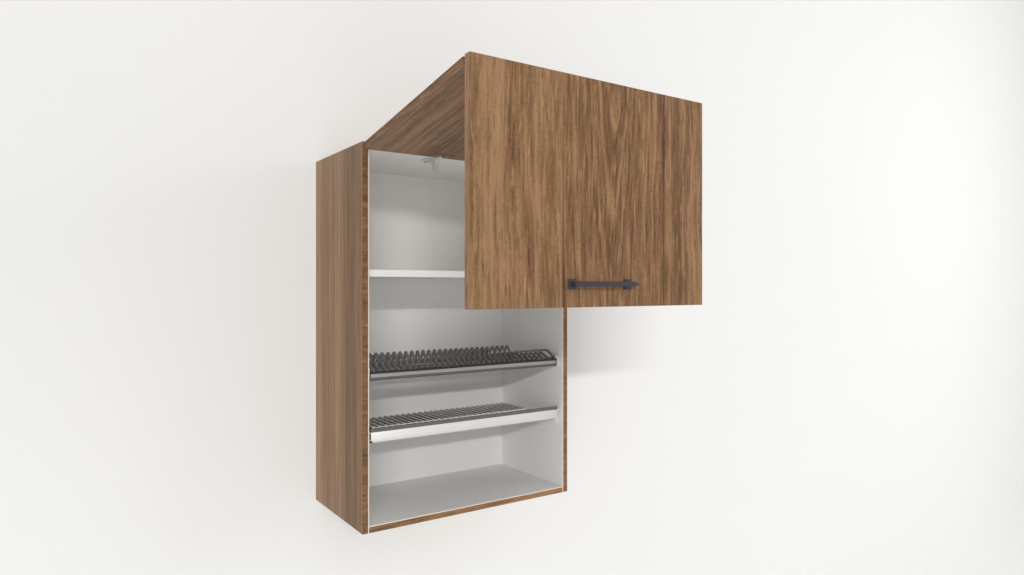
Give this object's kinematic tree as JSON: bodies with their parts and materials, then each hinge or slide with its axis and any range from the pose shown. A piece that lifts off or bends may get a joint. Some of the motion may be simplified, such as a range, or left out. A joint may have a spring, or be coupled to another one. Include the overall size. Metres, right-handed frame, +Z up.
{
  "type": "dish drying cabinet",
  "caption": "Wall-hung dish drying cabinet with a lift-up folding door, an adjustable shelf, a wire plate rack and a wire cup rack with drip tray.",
  "frame": {"origin": "on the wall plane, midway between the two wall fixing holes", "axes": "+X across the cabinet to the right seen from the front, +Y into the wall, +Z up; the door faces -Y"},
  "size_m": [0.6, 0.8184, 0.973],
  "materials": {
    "walnut_board": "walnut grain laminate, satin",
    "white_board": "white melamine facing, satin",
    "beech": "plain turned beech",
    "white_plastic": "moulded white, satin",
    "grey_plastic": "moulded translucent grey, satin",
    "clear_bumper": "soft translucent bumper",
    "brushed_aluminium": "brushed along its length",
    "satin_rail": "satin anodised",
    "dark_strip": "dark grey moulded strip",
    "slate_handle": "dark slate, satin",
    "wire_steel": "grey epoxy coated wire, satin",
    "zinc_steel": "bright zinc plated"
  },
  "bodies": {
    "carcass": {"adjustable_shelf": "white_board", "back_panel": "white_board", "bottom_edge_band": "walnut_board", "bottom_panel": "walnut_board", "cam_bolts": "zinc_steel", "cam_locks": "zinc_steel", "corner_dowels": "beech", "cup_rack_end_left": "white_plastic", "cup_rack_end_right": "white_plastic", "cup_rack_fascia": "brushed_aluminium", "cup_rack_strip": "dark_strip", "drip_tray": "grey_plastic", "fixing_rail": "white_board", "left_edge_band": "walnut_board", "left_side_panel": "walnut_board", "plate_rack_end_left": "white_plastic", "plate_rack_end_right": "white_plastic", "plate_rack_front_rail": "satin_rail", "plate_rack_strip": "dark_strip", "rack_screws": "zinc_steel", "right_edge_band": "walnut_board", "right_side_panel": "walnut_board", "shelf_edge_band": "white_board", "shelf_pins": "zinc_steel", "top_bracket_screws": "zinc_steel", "top_edge_band": "walnut_board", "top_hinge_bracket_left": "white_plastic", "top_hinge_bracket_right": "white_plastic", "top_panel": "walnut_board"},
    "upper_leaf_body": {"fold_arm_screws": "zinc_steel", "fold_hinge_arm_left": "zinc_steel", "fold_hinge_arm_right": "zinc_steel", "top_cup_screws": "zinc_steel", "top_hinge_cup_left": "zinc_steel", "top_hinge_cup_right": "zinc_steel", "top_hinge_pins": "zinc_steel", "upper_leaf": "walnut_board"},
    "lower_leaf_body": {"door_bumpers": "clear_bumper", "fold_cup_screws": "zinc_steel", "fold_hinge_cup_left": "zinc_steel", "fold_hinge_cup_right": "zinc_steel", "fold_hinge_pins": "zinc_steel", "handle_bar": "slate_handle", "handle_leg_left": "slate_handle", "handle_leg_right": "slate_handle", "handle_screws": "zinc_steel", "lower_leaf": "walnut_board"},
    "plate_grid": {"plate_rack_tall_loops": "wire_steel", "plate_rack_low_loops": "wire_steel", "plate_rack_low_frame": "wire_steel", "plate_rack_rods": "wire_steel"},
    "cup_grid": {"cup_rack_wires": "wire_steel", "cup_rack_low_wires": "wire_steel", "cup_rack_rods": "zinc_steel"}
  },
  "joints": [
    {"name": "door_lift", "type": "hinge", "parent": "carcass", "child": "upper_leaf_body", "pos_m": [0, -0.337, 0.049], "axis": [1, 0, 0], "range_deg": [0, 99.5]},
    {"name": "door_fold", "type": "hinge", "parent": "upper_leaf_body", "child": "lower_leaf_body", "pos_m": [0, -0.78543, 0.11999], "axis": [1, 0, 0], "range_deg": [-99.5, 0]},
    {"name": "plate_grid_lift", "type": "slide", "parent": "carcass", "child": "plate_grid", "axis": [0, 0, 1], "range_m": [0, 0.05]},
    {"name": "cup_grid_lift", "type": "slide", "parent": "carcass", "child": "cup_grid", "axis": [0, 0, 1], "range_m": [0, 0.05]}
  ],
  "couplings": [
    {"joint": "door_fold", "follows": "door_lift", "ratio": -1}
  ]
}
